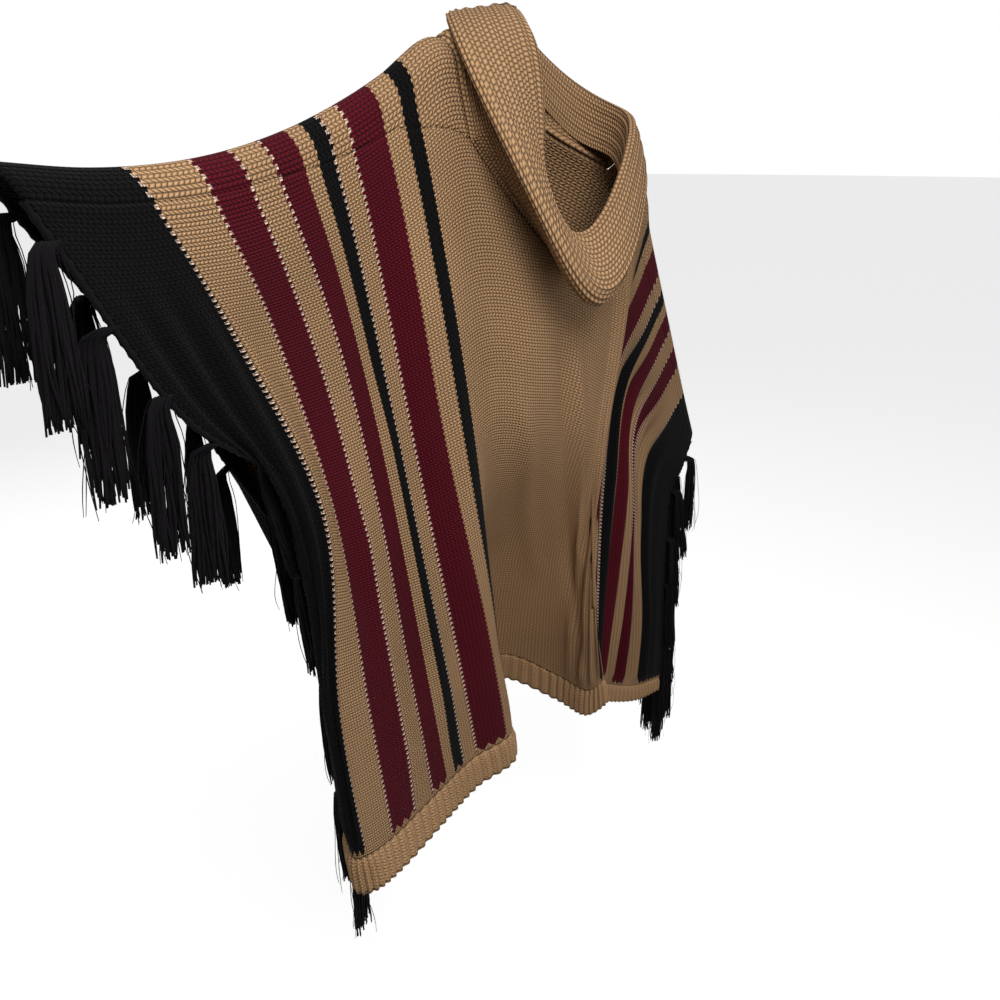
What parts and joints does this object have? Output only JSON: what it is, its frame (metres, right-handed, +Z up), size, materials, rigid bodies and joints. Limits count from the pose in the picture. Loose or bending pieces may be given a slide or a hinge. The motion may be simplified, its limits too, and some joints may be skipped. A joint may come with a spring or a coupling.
{
  "type": "knitted poncho sweater",
  "caption": "Open-sided knitted poncho with a cowl neck, colour-block stripes, ribbed hems and tasselled side edges, hanging from its neck with one corner drawn out.",
  "frame": {"origin": "middle of the neck at shoulder height, where the wearer's neck holds the garment", "axes": "+Z up, -Y the way the front faces, +X towards the wearer's left"},
  "size_m": [1.0545, 0.3738, 1.0671],
  "materials": {
    "striped_knit": "textured stocking stitch in camel with black and burgundy stripes",
    "camel_rib": "ribbed knit",
    "camel_mesh_knit": "open knit",
    "black_yarn": "loose yarn"
  },
  "bodies": {
    "root": {"front_panel": "striped_knit", "back_panel": "striped_knit", "cowl": "camel_mesh_knit", "front_rib": "camel_rib", "back_rib": "camel_rib", "fringe_front_right": "black_yarn", "fringe_back_right": "black_yarn", "fringe_front_left": "black_yarn", "fringe_back_left": "black_yarn"}
  },
  "joints": []
}
